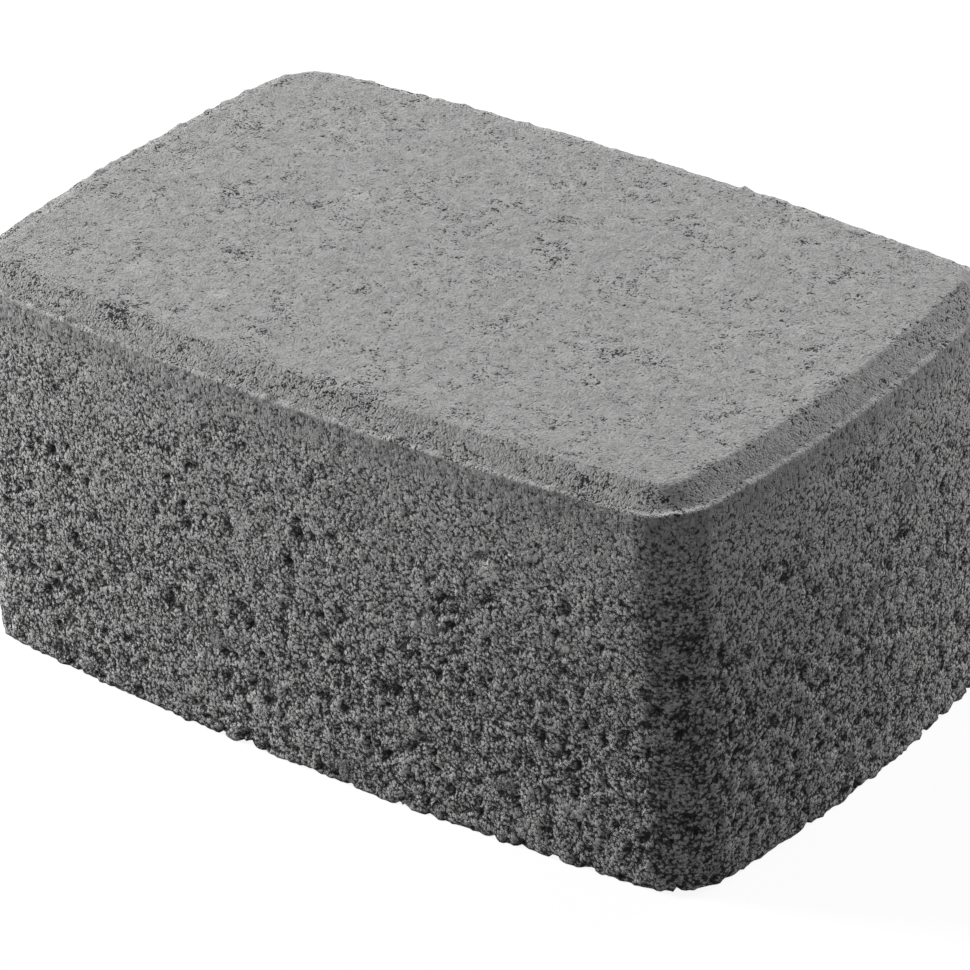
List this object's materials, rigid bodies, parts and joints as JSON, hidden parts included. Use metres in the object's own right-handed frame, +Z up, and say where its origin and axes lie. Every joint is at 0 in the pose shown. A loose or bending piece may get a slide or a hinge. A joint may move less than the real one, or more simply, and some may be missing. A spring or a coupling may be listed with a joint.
{
  "type": "concrete paving stone",
  "caption": "Concrete paving stone: a thick oblong block with gently bowed sides, rounded corners and a narrow lip and chamfer around the wearing face.",
  "frame": {"origin": "centre of the bed face, at the middle of the plan outline", "axes": "+X along the length, +Y along the width, +Z up from the bed face to the wearing face"},
  "size_m": [0.175, 0.112, 0.08],
  "materials": {
    "concrete": "rough cast concrete, fine-grained on the wearing face and open-grained on the sides"
  },
  "bodies": {
    "root": {"paving_stone": "concrete"}
  },
  "joints": []
}
